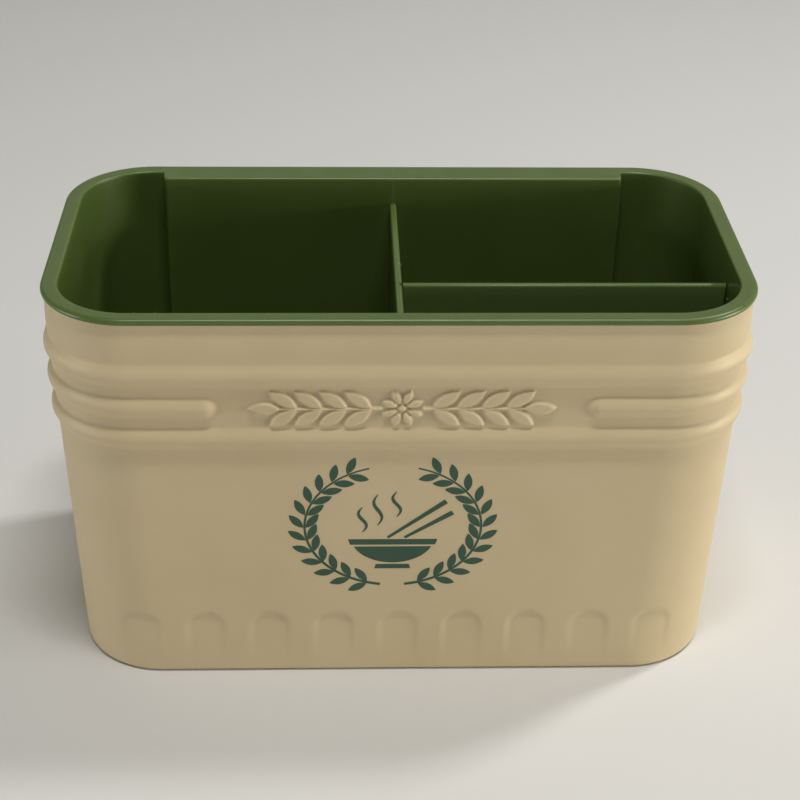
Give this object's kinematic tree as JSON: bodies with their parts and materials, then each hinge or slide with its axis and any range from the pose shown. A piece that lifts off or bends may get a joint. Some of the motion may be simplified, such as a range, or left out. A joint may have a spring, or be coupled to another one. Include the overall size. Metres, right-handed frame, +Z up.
{
  "type": "chopstick and cutlery caddy",
  "caption": "Open-top kitchen caddy for chopsticks: tapered beaded shell, lift-out draining liner with a rim, and slide-in dividers.",
  "frame": {"origin": "middle of the base, on the surface it stands on", "axes": "+X to the right along the long side, +Y to the back, +Z up; the front with the interrupted bead looks along -Y"},
  "size_m": [0.2052, 0.1082, 0.125],
  "materials": {
    "shell_plastic": "fine matt, cream",
    "liner_plastic": "satin, leaf green",
    "divider_plastic": "satin, leaf green"
  },
  "bodies": {
    "shell": {"outer_shell": "shell_plastic"},
    "liner": {"inner_liner": "liner_plastic"},
    "main_divider": {"main_divider": "divider_plastic"},
    "cross_divider": {"cross_divider": "divider_plastic"}
  },
  "joints": [
    {"name": "liner_lift", "type": "slide", "parent": "shell", "child": "liner", "axis": [0, 0, 1], "range_m": [0, 0.125]},
    {"name": "main_lift", "type": "slide", "parent": "liner", "child": "main_divider", "axis": [0, 0, 1], "range_m": [0, 0.115]},
    {"name": "cross_lift", "type": "slide", "parent": "liner", "child": "cross_divider", "axis": [0, 0, 1], "range_m": [0, 0.115]}
  ]
}
